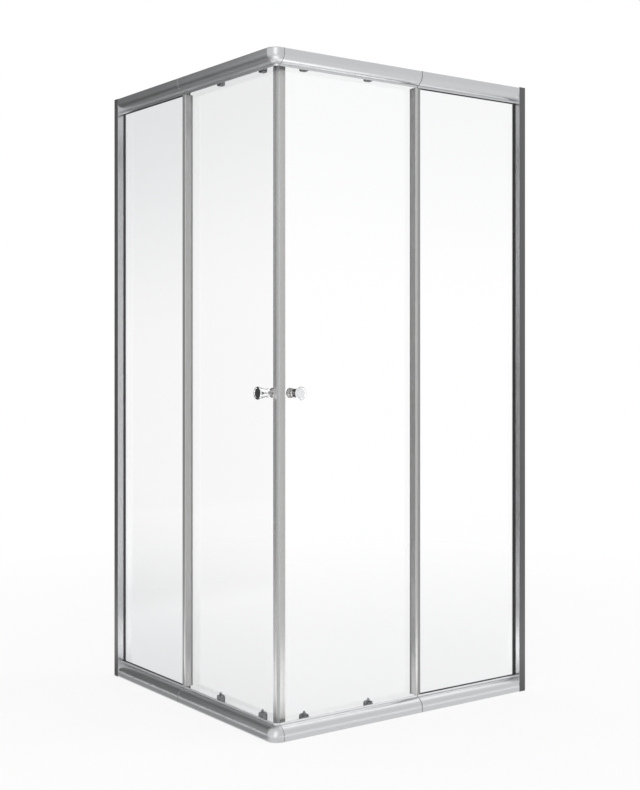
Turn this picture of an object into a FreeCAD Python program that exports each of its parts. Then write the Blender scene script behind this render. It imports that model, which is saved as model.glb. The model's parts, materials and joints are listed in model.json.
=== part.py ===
import FreeCAD, Part
import math
import os
import types

import Sketcher

# Square corner shower enclosure with two sliding glass doors that meet at the outer corner, in millimetres.
#
# Both sides are alike and mirror each other about the upright plane x = y through the outer corner. The front
# side lies along X at the lowest Y, and everything on it is given by three measures:
#   run    distance along the side, from the outer corner towards the wall
#   inset  distance in from the side's outer plane, towards the shower
#   rise   height above the tray that the enclosure stands on
# A body's own X, Y and Z are run, inset and rise. The frame's origin is the centre of the enclosure's base.

SIZES = {
    # the whole enclosure
    "side_width": 900,
    "full_height": 1800,
    # curved rail covers: a flange, an upright flat, a quarter round and a lip
    "cover_wall": 1.6,
    "cover_flat": 12,
    "cover_bend": 29,
    "cover_edge": 3,
    "cover_flange": 24,
    "cover_lip": 22,
    "cover_height": 45,
    "cover_split": 500,
    "cover_gap": 3,
    "cap_radius": 34,
    "cap_gap": 1,
    # tracks under the covers
    "track_inset": 24,
    "track_depth": 64,
    "track_wall": 1.8,
    "track_rib": 31,
    "rib_height": 38,
    "fin_wall": 1.6,
    "tongue_inset": 20,
    "top_flange": 28,
    "ledge_inset": 56.4,
    "ledge_kerb": 0.8,
    "kerb_height": 1.5,
    "low_flange": 10,
    "floor_inset": 57.5,
    "floor_rise": 6,
    "bead_inset": 59.2,
    "bead_width": 1,
    "bead_rise": 8,
    # wall side
    "post_width": 23,
    "post_depth": 31,
    "post_wall": 1.6,
    "glass_slot": 12.4,
    "channel_inset": 2,
    "channel_depth": 29,
    "channel_reach": 20,
    "wall_hole": 6,
    "wall_hole_inset": 15.5,
    "wall_hole_outer": 1600,
    "wall_hole_inner": 500,
    "screw_inset": 5,
    "screw_pitch": 750,
    "screw_shank": 3.9,
    "screw_length": 7,
    "screw_hole": 4.2,
    "screw_head": 7,
    # glass
    "glass_wall": 5,
    "glass_slip": 0.2,
    "glass_play": 0.4,
    "fixed_inset": 24,
    "fixed_start": 499.5,
    "fixed_foot": 12,
    "door_inset": 45.5,
    "door_start": 55,
    "door_end": 523.4,
    "door_foot": 8,
    "seal_show": 3.5,
    "gasket_reach": 6.5,
    # edge post on the free edge of the fixed pane
    "edge_run": 493,
    "edge_width": 18,
    "edge_bead": 8.2,
    "edge_face": 21.5,
    "edge_back": 44.5,
    "edge_wall": 1.6,
    "edge_groove": 40.6,
    "strip_face": 22.3,
    # profiles on the door's two upright edges
    "profile_face": 42,
    "profile_back": 54,
    "profile_wall": 2,
    "profile_foot": 10,
    "lead_groove": 58,
    "groove_width": 1.2,
    "groove_depth": 0.6,
    "lead_run": 47.3,
    "lead_end": 65.5,
    "rear_run": 513,
    "rear_end": 526,
    "magnet_gap": 0.3,
    # knobs
    "knob_run": 95,
    "knob_rise": 902,
    "knob_face": 11,
    "knob_radius": 18,
    "knob_rim": 4,
    "knob_cone": 21,
    "knob_neck": 11,
    "knob_foot": 11.6,
    "knob_back": 67,
    "grip_radius": 13.5,
    "grip_neck": 7.2,
    "grip_foot": 9.7,
    "stud_radius": 3,
    "stud_reach": 8,
    "knob_hole": 5.5,
    # rollers and their brackets
    "roller_near": 134,
    "roller_far": 350,
    "bracket_half": 11,
    "bracket_face": 50.7,
    "bracket_back": 64.7,
    "bracket_arm": 55.9,
    "top_bracket_foot": 41,
    "top_bracket_waist": 30,
    "top_bracket_head": 7,
    "low_bracket_foot": 20,
    "low_bracket_ceiling": 33,
    "low_bracket_head": 46,
    "boss_level": 28,
    "boss_radius": 5.2,
    "boss_hole": 5.5,
    "boss_cap": 6.4,
    "boss_cap_face": 43,
    "top_wheel": 10,
    "top_axle_level": 15.9,
    "top_axle": 3,
    "wheel_face": 57.5,
    "wheel_back": 61.9,
    "low_wheel": 9,
    "low_axle_rise": 15.3,
    "low_axle": 2,
    "axle_fit": 0.05,
    "plunger_inset": 56.6,
    "plunger_radius": 3.3,
    "plunger_bore": 3.6,
    "plunger_stem": 1.7,
    "plunger_seat": 34,
    "nub_radius": 4.2,
    "nub_height": 8,
    "spring_seat": 42,
    "spring_wall": 1,
}


class Size:
    """A measure held both as a number and as the sheet formula that gives it."""

    def __init__(self, value, formula=None):
        self.value = float(value)
        self.formula = formula or repr(float(value))

    @staticmethod
    def of(other):
        return other if isinstance(other, Size) else Size(other)

    def __add__(self, other):
        other = Size.of(other)
        return Size(self.value + other.value, f"({self.formula} + {other.formula})")

    def __sub__(self, other):
        other = Size.of(other)
        return Size(self.value - other.value, f"({self.formula} - {other.formula})")

    def __mul__(self, other):
        other = Size.of(other)
        return Size(self.value * other.value, f"({self.formula} * {other.formula})")

    def __truediv__(self, other):
        other = Size.of(other)
        return Size(self.value / other.value, f"({self.formula} / {other.formula})")

    def __neg__(self):
        return Size(-self.value, f"(0 - {self.formula})")

    def __rsub__(self, other):
        return Size.of(other) - self

    __radd__ = __add__
    __rmul__ = __mul__

    def root(self):
        return Size(math.sqrt(self.value), f"sqrt({self.formula})")


class Bend:
    """An arc in an outline, from the vertex before it to the one after it."""

    def __init__(self, across, along, radius):
        self.centre = (Size.of(across), Size.of(along))
        self.radius = Size.of(radius)


class Circle:
    """A round outline."""

    def __init__(self, across, along, radius):
        self.centre = (Size.of(across), Size.of(along))
        self.radius = Size.of(radius)


doc = FreeCAD.newDocument("shower_enclosure")
sheet = doc.addObject("Spreadsheet::Sheet", "sizes")
for row, (alias, number) in enumerate(SIZES.items(), start=1):
    sheet.set(f"A{row}", alias)
    sheet.set(f"B{row}", str(number))
    sheet.setAlias(f"B{row}", alias)
doc.recompute()
d = types.SimpleNamespace(**{alias: Size(number, f"sizes.{alias}") for alias, number in SIZES.items()})

# measures that several pieces share
corner = -d.side_width / 2
rail_end = d.side_width - d.post_width
door_glass_back = d.door_inset + d.glass_wall
fixed_glass_back = d.fixed_inset + d.glass_wall
slot_outer = d.fixed_inset - d.glass_play
slot_inner = fixed_glass_back + d.glass_play
slot_end = rail_end + d.glass_slot
fixed_end = slot_end - 0.5
rail_gap_top = d.full_height - d.cover_height
half_height = d.full_height / 2
screw_run = d.side_width - d.screw_inset
screw_rises = [half_height + step * d.screw_pitch for step in (-1, 0, 1)]

nodes = {}


# ---- building blocks -----------------------------------------------------------------------------


def bind(thing, path, size):
    """Give a property its value from the sheet."""
    thing.setExpression(path, Size.of(size).formula)


def keep(label, thing):
    """Name an object as one of the enclosure's pieces."""
    thing.Label = label
    nodes[label] = thing
    return thing


def new_body(label, run=0, inset=0, rise=0):
    """An empty body whose own origin is at a run, inset and rise of the front side."""
    body = doc.addObject("PartDesign::Body", label)
    bind(body, "Placement.Base.x", corner + run)
    bind(body, "Placement.Base.y", corner + inset)
    bind(body, "Placement.Base.z", rise)
    return body


def rounded(outline):
    """The outline with each vertex that has a radius turned into two vertices with a bend between them."""
    result = []
    for index, item in enumerate(outline):
        if isinstance(item, Bend):
            result.append(item)
            continue
        x, y = Size.of(item[0]), Size.of(item[1])
        if len(item) == 2:
            result.append((x, y))
            continue
        ends = []
        for other in (outline[index - 1], outline[(index + 1) % len(outline)]):
            step_x = Size.of(other[0]).value - x.value
            step_y = Size.of(other[1]).value - y.value
            upright = abs(step_x) < abs(step_y)
            way = math.copysign(1, step_y if upright else step_x)
            ends.append((x, y + item[2] * way) if upright else (x + item[2] * way, y))
        centre_x = ends[0][0] + ends[1][0] - x
        centre_y = ends[0][1] + ends[1][1] - y
        result += [ends[0], Bend(centre_x, centre_y, item[2]), ends[1]]
    return result


def edges_of(outline):
    """The closed outline as edges: start, end, and the bend between them or None."""
    items = rounded(outline)
    edges = []
    for index, item in enumerate(items):
        if isinstance(item, Bend):
            continue
        follower = items[(index + 1) % len(items)]
        if isinstance(follower, Bend):
            edges.append((item, items[(index + 2) % len(items)], follower))
        else:
            edges.append((item, follower, None))
    return edges


def bound(sketch, kind, *what):
    """Add a dimension to a sketch and bind it to the sheet; the last item is the size."""
    size = Size.of(what[-1])
    number = sketch.addConstraint(Sketcher.Constraint(kind, *what[:-1], size.value))
    bind(sketch, f"Constraints[{number}]", size)


def point(vertex):
    """A vertex as a point of the sketch."""
    return FreeCAD.Vector(vertex[0].value, vertex[1].value, 0)


def draw_outline(sketch, outline):
    """Draw a closed outline, with every vertex dimensioned from the sketch's origin."""
    ends = []
    for start, end, bend in edges_of(outline):
        if bend is None:
            curve = sketch.addGeometry(Part.LineSegment(point(start), point(end)), False)
            ends.append((curve, 1, 2, start, None))
            continue
        first, last, centre = point(start), point(end), point(bend.centre)
        circle = Part.Circle(centre, FreeCAD.Vector(0, 0, 1), bend.radius.value)
        angles = [math.atan2(place.y - centre.y, place.x - centre.x) for place in (first, last)]
        forward = (angles[1] - angles[0]) % (2 * math.pi) < math.pi
        low, high = angles if forward else reversed(angles)
        curve = sketch.addGeometry(Part.ArcOfCircle(circle, low, high), False)
        ends.append((curve, 1 if forward else 2, 2 if forward else 1, start, bend.radius))
    for index, (curve, head, tail, start, radius) in enumerate(ends):
        following = ends[(index + 1) % len(ends)]
        sketch.addConstraint(Sketcher.Constraint("Coincident", curve, tail, following[0], following[1]))
    for curve, head, tail, start, radius in ends:
        bound(sketch, "DistanceX", curve, head, start[0])
        bound(sketch, "DistanceY", curve, head, start[1])
        if radius is not None:
            bound(sketch, "Radius", curve, radius)


def draw_circle(sketch, circle):
    """Draw a circle, with its centre and radius dimensioned."""
    ring = Part.Circle(point(circle.centre), FreeCAD.Vector(0, 0, 1), circle.radius.value)
    curve = sketch.addGeometry(ring, False)
    bound(sketch, "DistanceX", curve, 3, circle.centre[0])
    bound(sketch, "DistanceY", curve, 3, circle.centre[1])
    bound(sketch, "Radius", curve, circle.radius)


# A plan lies at a rise and has run across and inset up, a section lies at a run and has inset across and
# rise up, and an elevation lies at an inset and has run across and rise up. The elevation's plane faces out.
PLANES = {"plan": "XY_Plane", "section": "YZ_Plane", "elevation": "XZ_Plane"}


def sketch_on(body, view, level, *shapes):
    """A sketch of the shapes at a level of one of the body's own planes."""
    sketch = body.newObject("Sketcher::SketchObject", view)
    plane = next(item for item in body.Origin.OriginFeatures if item.Role == PLANES[view])
    sketch.AttachmentSupport = [(plane, "")]
    sketch.MapMode = "FlatFace"
    bind(sketch, "AttachmentOffset.Base.z", -level if view == "elevation" else level)
    for shape in shapes:
        if isinstance(shape, Circle):
            draw_circle(sketch, shape)
        else:
            draw_outline(sketch, shape)
    return sketch


def add(body, view, low, high, *shapes):
    """Pad the shapes from one level to a higher one."""
    low, high = Size.of(low), Size.of(high)
    pad = body.newObject("PartDesign::Pad", "pad")
    pad.Profile = sketch_on(body, view, low, *shapes)
    pad.Reversed = view == "elevation"
    bind(pad, "Length", high - low)
    return pad


def cut(body, view, low, high, *shapes):
    """Take the shapes out from one level to a higher one."""
    low, high = Size.of(low), Size.of(high)
    pocket = body.newObject("PartDesign::Pocket", "pocket")
    pocket.Profile = sketch_on(body, view, low if view == "elevation" else high, *shapes)
    bind(pocket, "Length", high - low)
    return pocket


def turn(body, view, outline, angle=360):
    """Turn an outline about the upright axis of its sketch."""
    turned = body.newObject("PartDesign::Revolution", "turned")
    sketch = sketch_on(body, view, Size(0), outline)
    turned.Profile = sketch
    turned.ReferenceAxis = (sketch, ["V_Axis"])
    turned.Angle = angle
    return turned


def rectangle(left, low, right, high, *radius):
    """A rectangle, with its corners rounded if a radius is given."""
    return [(left, low, *radius), (right, low, *radius), (right, high, *radius), (left, high, *radius)]


def mirrored(label, source, normal, path=None, level=None):
    """The mirror image of a piece about a plane."""
    image = doc.addObject("Part::Mirroring", label)
    image.Source = source
    image.Normal = FreeCAD.Vector(*normal)
    if path:
        bind(image, path, level)
    return image


def across_corner(label, source):
    """The left side's piece, from the front side's."""
    return mirrored(label, source, (1, -1, 0))


def across_height(label, source):
    """The top rail's piece, from the bottom rail's."""
    return mirrored(label, source, (0, 0, 1), "Base.z", half_height)


def across_rollers(label, source):
    """The far roller's piece, from the near roller's."""
    return mirrored(label, source, (1, 0, 0), "Base.x", corner + (d.roller_near + d.roller_far) / 2)


def group(label, *members):
    """Alike pieces kept together as separate solids."""
    compound = doc.addObject("Part::Compound", label)
    compound.Links = list(members)
    return compound


def keep_both_sides(name, front):
    """Keep a front piece and its left mirror image."""
    keep(f"{name}_front", front)
    keep(f"{name}_left", across_corner(f"{name}_left", front))


# ---- rails ---------------------------------------------------------------------------------------


def cover_section(outer, inner, flange_end, lip_end):
    """The bottom cover's section between two depths under its outer surface, as inset and rise."""

    def bend_end(depth):
        """Where the quarter round meets the lip, and its radius, at a depth."""
        radius = d.cover_bend - depth
        reach = d.cover_bend - d.cover_lip - depth
        return d.cover_lip + depth, d.cover_flat + (radius * radius - reach * reach).root(), radius

    outer_inset, outer_rise, outer_radius = bend_end(outer)
    inner_inset, inner_rise, inner_radius = bend_end(inner)
    return [
        (flange_end, outer),
        (outer, outer, d.cover_edge - outer),
        (outer, d.cover_flat),
        Bend(d.cover_bend, d.cover_flat, outer_radius),
        (outer_inset, outer_rise),
        (outer_inset, lip_end),
        (inner_inset, lip_end),
        (inner_inset, inner_rise),
        Bend(d.cover_bend, d.cover_flat, inner_radius),
        (inner, d.cover_flat),
        (inner, inner, d.cover_edge - inner),
        (flange_end, inner),
    ]


def make_covers():
    """The curved covers: one along the door and one along the fixed pane, on each rail of each side."""
    section = cover_section(Size(0), d.cover_wall, d.cover_flange, d.cover_height)
    spans = {
        "door": (d.cap_radius + d.cap_gap, d.cover_split - d.cover_gap / 2),
        "fixed": (d.cover_split + d.cover_gap / 2, rail_end),
    }
    for name, (start, end) in spans.items():
        bottom = new_body(f"bottom_cover_{name}_front")
        add(bottom, "section", start, end, section)
        keep_both_sides(f"bottom_cover_{name}", bottom)
        top = across_height(f"top_cover_{name}_front", bottom)
        keep_both_sides(f"top_cover_{name}", top)


def make_joint_clips():
    """Clips that join two covers: a rib fills the gap, and a tongue lies under both covers."""
    surface, tongue_back, tongue_reach = Size(0.5), d.cover_wall + 1.2, 10
    flange_end, lip_end = d.tongue_inset - 0.5, d.cover_height - 1
    bottom = new_body("bottom_clip")
    tongue = cover_section(d.cover_wall, tongue_back, flange_end, lip_end)
    add(bottom, "section", d.cover_split - tongue_reach, d.cover_split + tongue_reach, tongue)
    glass_room = rectangle(d.fixed_inset - 0.5, d.fixed_foot, d.fixed_inset + 2, d.cover_height)
    cut(bottom, "section", d.cover_split - tongue_reach - 1, d.cover_split + tongue_reach + 1, glass_room)
    rib = cover_section(surface, d.cover_wall, flange_end, lip_end)
    add(bottom, "section", d.cover_split - d.cover_gap / 2, d.cover_split + d.cover_gap / 2, rib)
    top = across_height("top_clip", bottom)
    left = [across_corner("left_clip", clip) for clip in (bottom, top)]
    keep("cover_joint_clips", group("cover_joint_clips", bottom, top, *left))


def make_corner_caps():
    """The rounded caps over the corner: the cover's section turned a quarter about an upright axis."""
    bottom = new_body("corner_cap_bottom", d.cap_radius, d.cap_radius)
    section = cover_section(Size(0), d.cover_wall, d.cover_flange, d.cover_height)
    outline = []
    for item in section:
        if isinstance(item, Bend):
            outline.append(Bend(item.centre[0] - d.cap_radius, item.centre[1], item.radius))
        else:
            outline.append((item[0] - d.cap_radius, *item[1:]))
    turn(bottom, "elevation", outline, 90)
    notch = d.cover_flange - d.cap_radius
    cut(bottom, "plan", -1, d.track_wall, rectangle(notch, notch, 1, 1))
    keep("corner_cap_bottom", bottom)
    keep("corner_cap_top", across_height("corner_cap_top", bottom))


def mitre():
    """The plan of what is cut off a track at the corner, beyond the plane where run equals inset."""
    low, high = d.tongue_inset - 1, d.track_depth + 1
    return [(0, low), (low, low), (high, high), (0, high)]


def make_tracks():
    """The rail profiles that carry the doors, with a slot for the fixed pane and a tongue for the covers."""
    wall = d.track_wall
    tongue_low, tongue_high = d.cover_wall, d.cover_wall + d.fin_wall
    tongue_root = d.track_inset + 1.5
    rib_back = d.track_rib + d.fin_wall
    flange = d.track_depth - d.fin_wall
    shared_side = [
        (rib_back, wall),
        (rib_back, d.rib_height),
        (d.track_rib, d.rib_height),
        (d.track_rib, wall),
        (tongue_root, wall),
        (tongue_root, tongue_high),
        (d.tongue_inset, tongue_high),
        (d.tongue_inset, tongue_low),
        (d.track_inset, tongue_low),
    ]
    bead_end = d.bead_inset + d.bead_width
    bottom_section = [
        (d.track_inset, 0),
        (d.track_depth, 0),
        (d.track_depth, d.low_flange),
        (flange, d.low_flange),
        (flange, d.floor_rise),
        (bead_end, d.floor_rise),
        (bead_end, d.bead_rise),
        (d.bead_inset, d.bead_rise),
        (d.bead_inset, d.floor_rise),
        (d.floor_inset, d.floor_rise),
        (d.floor_inset, wall),
        *shared_side,
    ]
    ledge_top = d.top_flange - wall
    kerb_end = d.ledge_inset + d.ledge_kerb
    hanging_section = [
        (d.track_inset, 0),
        (d.track_depth, 0),
        (d.track_depth, d.top_flange),
        (d.ledge_inset, d.top_flange),
        (d.ledge_inset, ledge_top - d.kerb_height),
        (kerb_end, ledge_top - d.kerb_height),
        (kerb_end, ledge_top),
        (flange, ledge_top),
        (flange, wall),
        *shared_side,
    ]
    top_section = [(inset, d.full_height - level) for inset, level in hanging_section]
    bottom = new_body("bottom_track_front")
    add(bottom, "section", d.tongue_inset, rail_end, bottom_section)
    cut(bottom, "plan", -1, d.cover_height, mitre())
    keep_both_sides("bottom_track", bottom)
    top = new_body("top_track_front")
    add(top, "section", d.tongue_inset, rail_end, top_section)
    cut(top, "plan", rail_gap_top, d.full_height + 1, mitre())
    keep_both_sides("top_track", top)


def make_corner_braces():
    """Angle pieces that hold the two mitred tracks together, in the slots beside the pane."""
    outer, inner, leg = d.track_rib - 5.8, d.track_rib, 95
    low, high = 4, 20
    bottom = new_body("bottom_brace")
    angle = [(outer, outer), (leg, outer), (leg, inner), (inner, inner), (inner, leg), (outer, leg)]
    add(bottom, "plan", low, high, angle)
    keep("corner_braces", group("corner_braces", bottom, across_height("top_brace", bottom)))


def make_end_blocks():
    """Plastic blocks that close the rails at the wall and stop the doors."""
    height = d.top_flange
    bottom = new_body("bottom_end_block")
    block = rectangle(d.post_depth, 0, d.track_depth, height, 2)
    add(bottom, "section", rail_end, d.side_width, block)
    top = across_height("top_end_block", bottom)
    left = [across_corner("left_end_block", end) for end in (bottom, top)]
    keep("rail_end_blocks", group("rail_end_blocks", bottom, top, *left))


# ---- wall side -----------------------------------------------------------------------------------


def make_wall_channel():
    """The channel that is screwed to the wall, with its screw holes left open."""
    wall = d.post_wall
    front, back = d.channel_inset, d.channel_depth
    long_leg = d.side_width - d.channel_reach
    short_leg = slot_end + wall + 1
    channel = new_body("wall_channel_front")
    outline = [
        (d.side_width, front),
        (d.side_width, back),
        (short_leg, back),
        (short_leg, back - wall),
        (d.side_width - wall, back - wall),
        (d.side_width - wall, front + wall),
        (long_leg, front + wall),
        (long_leg, front),
    ]
    add(channel, "plan", 0, d.full_height, outline)
    spacings = (d.wall_hole_outer, d.wall_hole_inner)
    rises = [half_height + way * spacing / 2 for spacing in spacings for way in (-1, 1)]
    holes = [Circle(d.wall_hole_inset, rise, d.wall_hole / 2) for rise in rises]
    cut(channel, "section", d.side_width - 2 * wall, d.side_width + 1, *holes)
    pilots = [Circle(screw_run, rise, d.screw_shank / 2 + 0.05) for rise in screw_rises]
    cut(channel, "elevation", back - 2 * wall, back + 1, *pilots)
    keep_both_sides("wall_channel", channel)


def make_wall_post():
    """The post over the channel, with the slot that holds the fixed pane."""
    wall = d.post_wall
    near, far = rail_end, d.side_width
    outline = [
        (near, 0, 1.5),
        (far, 0),
        (far, wall),
        (near + wall, wall),
        (near + wall, slot_outer - wall),
        (slot_end + wall, slot_outer - wall),
        (slot_end + wall, slot_inner),
        (far, slot_inner),
        (far, d.post_depth),
        (near, d.post_depth),
        (near, slot_inner),
        (slot_end, slot_inner),
        (slot_end, slot_outer),
        (near, slot_outer),
    ]
    post = new_body("wall_post_front")
    add(post, "plan", 0, d.full_height, outline)
    holes = [Circle(screw_run, rise, d.screw_hole / 2) for rise in screw_rises]
    cut(post, "elevation", slot_inner - 0.1, d.post_depth + 1, *holes)
    keep_both_sides("wall_post", post)


def make_post_screws():
    """The pan-head screws that hold each post on its channel."""
    head, shank = d.screw_head / 2, d.screw_shank / 2
    seat, tip = d.post_depth, d.post_depth - d.screw_length
    screw = new_body("front_screws", screw_run, 0, screw_rises[0])
    outline = [
        (0, tip),
        (shank - 1, tip),
        (shank, tip + 2),
        (shank, seat),
        (head, seat),
        (head, seat + 1.2),
        (head - 1, seat + 2.2),
        (0, seat + 2.2),
    ]
    one = turn(screw, "plan", outline)
    row = screw.newObject("PartDesign::LinearPattern", "row")
    row.Originals = [one]
    upright = next(item for item in screw.Origin.OriginFeatures if item.Role == "Z_Axis")
    row.Direction = (upright, [""])
    bind(row, "Length", d.screw_pitch * 2)
    row.Occurrences = 3
    screw.Tip = row
    keep("post_screws", group("post_screws", screw, across_corner("left_screws", screw)))


# ---- fixed pane ----------------------------------------------------------------------------------


def make_fixed_glass():
    """The fixed pane, from the edge post to the bottom of the wall post's slot."""
    pane = new_body("fixed_glass_front")
    face = rectangle(d.fixed_start, d.fixed_foot, fixed_end, d.full_height - d.fixed_foot)
    add(pane, "elevation", d.fixed_inset, fixed_glass_back, face)
    keep_both_sides("fixed_glass", pane)


def make_glass_gaskets():
    """Rubber strips round the fixed pane: along both rails and up the wall post."""
    slip, ease = d.glass_slip, 0.1
    lip, bead = d.cover_lip + slip, d.cover_lip - ease
    low, shown = d.cover_height + slip, d.cover_height + d.seal_show
    strip_foot = d.cover_wall + d.fin_wall + ease
    under_lip = d.cover_lip + d.cover_wall + ease
    bead_run, bead_end = rail_end - d.gasket_reach, rail_end - ease
    rail_strip = [
        (under_lip, strip_foot),
        (d.track_rib, strip_foot),
        (d.track_rib, d.rib_height),
        (fixed_glass_back, d.rib_height),
        (fixed_glass_back, d.fixed_foot),
        (d.fixed_inset, d.fixed_foot),
        (d.fixed_inset, shown),
        (lip, shown),
        (lip, low),
        (under_lip, low),
    ]
    post_strip = [
        (bead_run, d.fixed_inset),
        (bead_run, bead, 1),
        (bead_end, bead),
        (bead_end, slot_outer + ease),
        (slot_end - ease, slot_outer + ease),
        (slot_end - ease, slot_inner - ease),
        (bead_end, slot_inner - ease),
        (bead_end, fixed_glass_back),
        (fixed_end, fixed_glass_back),
        (fixed_end, d.fixed_inset),
    ]
    edge_end = d.edge_run + d.edge_width
    bottom = new_body("bottom_gasket")
    add(bottom, "section", edge_end + slip, bead_run - ease, rail_strip)
    top = across_height("top_gasket", bottom)
    upright = new_body("upright_gasket")
    add(upright, "plan", low, d.full_height - low, post_strip)
    strips = (bottom, top, upright)
    left = [across_corner("left_gasket", strip) for strip in strips]
    keep("glass_gaskets", group("glass_gaskets", *strips, *left))


def make_edge_post():
    """The post on the pane's free edge: a bead over the glass's edge, and a chamber behind it."""
    near, far = d.edge_run, d.edge_run + d.edge_width
    wall, slip = d.edge_wall, d.glass_slip
    slot_face, slot_back = d.fixed_inset - slip, fixed_glass_back + slip
    slot_start = d.fixed_start - 0.5
    groove_low, groove_high = d.edge_groove - d.groove_width / 2, d.edge_groove + d.groove_width / 2
    outline = [
        (near, d.edge_face, 1.9),
        (near + d.edge_bead, d.edge_face, 0.9),
        (near + d.edge_bead, slot_face),
        (slot_start, slot_face),
        (slot_start, slot_back),
        (far, slot_back),
        (far, d.edge_back, 1),
        (near, d.edge_back),
        (near, groove_high),
        (near + d.groove_depth, groove_high),
        (near + d.groove_depth, groove_low),
        (near, groove_low),
    ]
    chamber = rectangle(near + wall, slot_back + wall, far - wall, d.edge_back - wall)
    post = new_body("edge_post_front")
    add(post, "plan", d.cover_height + slip, rail_gap_top - slip, outline, chamber)
    keep_both_sides("edge_post", post)


def make_edge_seals():
    """The strip that wedges the pane in each edge post, and the lip seal towards the door behind it."""
    near, base, tip = d.edge_run, d.edge_back, d.edge_back + 0.7
    low, high = d.cover_height + 1, rail_gap_top - 1
    strip_outline = [
        (near + d.edge_bead, d.strip_face),
        (near + d.edge_width, d.strip_face, 0.6),
        (near + d.edge_width, d.fixed_inset),
        (near + d.edge_bead, d.fixed_inset),
    ]
    strip = new_body("front_edge_strip")
    add(strip, "plan", low, high, strip_outline)
    lip_outline = [
        (near - 1.6, base - 2.2),
        (near, base - 2.2),
        (near, base),
        (near + 7, base),
        (near + 7, base + 0.3),
        (near + 1, tip),
        (near - 1.6, tip),
    ]
    lip = new_body("front_lip_seal")
    add(lip, "plan", low, high, lip_outline)
    left = [across_corner("left_edge_seal", seal) for seal in (strip, lip)]
    keep("overlap_seals", group("overlap_seals", strip, lip, *left))


# ---- doors ---------------------------------------------------------------------------------------


def make_door_glass():
    """The sliding pane, with holes for its knobs and roller brackets."""
    pane = new_body("door_glass_front")
    face = rectangle(d.door_start, d.door_foot, d.door_end, d.full_height - d.door_foot)
    holes = [Circle(d.knob_run, d.knob_rise, d.knob_hole)]
    for run in (d.roller_near, d.roller_far):
        for rise in (d.boss_level, d.full_height - d.boss_level):
            holes.append(Circle(run, rise, d.boss_hole))
    add(pane, "elevation", d.door_inset, door_glass_back, face, *holes)
    keep_both_sides("door_glass", pane)


def make_door_profiles():
    """The channels on the door's leading and rear edges, and the magnetic seal on the leading one."""
    wall, slip, gap = d.profile_wall, d.glass_slip, d.magnet_gap
    face, back = d.profile_face, d.profile_back
    slot_face, slot_back = d.door_inset - slip, door_glass_back + slip
    low, high = d.profile_foot, d.full_height - d.profile_foot
    lead = new_body("lead_profile_front")
    groove_start, groove_end = d.lead_groove - d.groove_width / 2, d.lead_groove + d.groove_width / 2
    lead_outline = [
        (d.lead_run, face, 2),
        (groove_start, face),
        (groove_start, face + d.groove_depth),
        (groove_end, face + d.groove_depth),
        (groove_end, face),
        (d.lead_end, face, 0.8),
        (d.lead_end, slot_face),
        (d.door_start - slip, slot_face),
        (d.door_start - slip, slot_back),
        (d.lead_end, slot_back),
        (d.lead_end, back, 1),
        (back + gap, back),
        (d.lead_run, d.lead_run - gap),
    ]
    add(lead, "plan", low, high, lead_outline)
    keep_both_sides("lead_profile", lead)
    rear = new_body("rear_profile_front")
    rear_outline = [
        (d.rear_run, face, 0.8),
        (d.rear_end, face, 1),
        (d.rear_end, back, 1),
        (d.rear_run, back, 0.8),
        (d.rear_run, slot_back),
        (d.door_end + slip, slot_back),
        (d.door_end + slip, slot_face),
        (d.rear_run, slot_face),
    ]
    add(rear, "plan", low, high, rear_outline)
    keep_both_sides("rear_profile", rear)
    seal = new_body("magnetic_seal_front")
    reach = d.lead_run - face - gap
    seal_outline = [
        (d.lead_run - reach, face),
        (d.lead_run, face),
        (d.lead_run, face + reach - wall / 2),
        (d.lead_run - wall / 2, face + reach - wall / 2),
    ]
    add(seal, "plan", low, high, seal_outline)
    keep_both_sides("magnetic_seal", seal)


def make_knobs():
    """The conical knob outside, with its stud through the glass, and the round grip inside."""
    outer = new_body("knob_outer_front", d.knob_run, 0, d.knob_rise)
    seat, stud_end = d.door_inset - d.glass_slip, door_glass_back + d.stud_reach
    face, rim, neck, foot = d.knob_face, d.knob_radius, d.knob_neck, d.knob_foot
    flare = face + d.knob_rim
    outline = [
        (0, face + 1),
        (rim - 5, face + 1),
        (rim - 4, face),
        (rim - 1.5, face),
        Bend(rim - 1.5, face + 1.5, 1.5),
        (rim, face + 1.5),
        (rim - 1.5, flare),
        (neck, flare + d.knob_cone),
        (neck, seat - 4),
        (foot, seat - 2.5),
        (foot, seat),
        (d.stud_radius, seat),
        (d.stud_radius, stud_end),
        (0, stud_end),
    ]
    turn(outer, "plan", outline)
    keep_both_sides("knob_outer", outer)
    inner = new_body("knob_inner_front", d.knob_run, 0, d.knob_rise)
    start, end = door_glass_back + d.glass_slip, d.knob_back
    bore, bore_end, grip = d.stud_radius + 0.2, stud_end + 1, d.grip_radius
    grip_outline = [
        (0, bore_end),
        (bore, bore_end),
        (bore, start),
        (d.grip_foot, start),
        (d.grip_foot, start + 2),
        (d.grip_neck, start + 4),
        (d.grip_neck, start + 6),
        (grip - 0.5, start + 9.5),
        (grip, start + 10.5),
        (grip, end - 2),
        Bend(grip - 2, end - 2, 2),
        (grip - 2, end),
        (0, end),
    ]
    turn(inner, "plan", grip_outline)
    keep_both_sides("knob_inner", inner)


def add_boss(body, rise):
    """The round boss of a bracket through the glass, and its cap outside."""
    back = d.door_inset - d.glass_slip
    add(body, "elevation", back, d.bracket_face, Circle(0, rise, d.boss_radius))
    add(body, "elevation", d.boss_cap_face, back, Circle(0, rise, d.boss_cap))


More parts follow.
